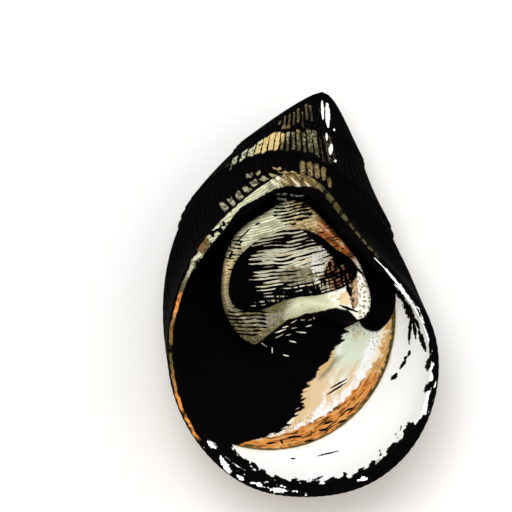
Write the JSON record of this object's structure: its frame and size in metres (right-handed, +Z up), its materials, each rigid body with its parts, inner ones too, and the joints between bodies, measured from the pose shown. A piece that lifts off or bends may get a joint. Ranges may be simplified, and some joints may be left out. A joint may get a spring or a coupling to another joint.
{
  "type": "seashell",
  "caption": "Cap-shaped ribbed seashell lying on its back, with a pointed beak, a flared rim, a pearly bowl and a small inner cup with a rolled lip.",
  "frame": {"origin": "middle of the shell's box at the level of the flat it rests on", "axes": "+Z up out of the mouth, +Y along the shell from the front of the rim to the beak, +X to the right seen from the front"},
  "size_m": [0.0368, 0.0604, 0.0177],
  "materials": {
    "shell": "ribbed and satin outside, glossy black and pearl inside"
  },
  "bodies": {
    "root": {"shell": "shell"}
  },
  "joints": []
}
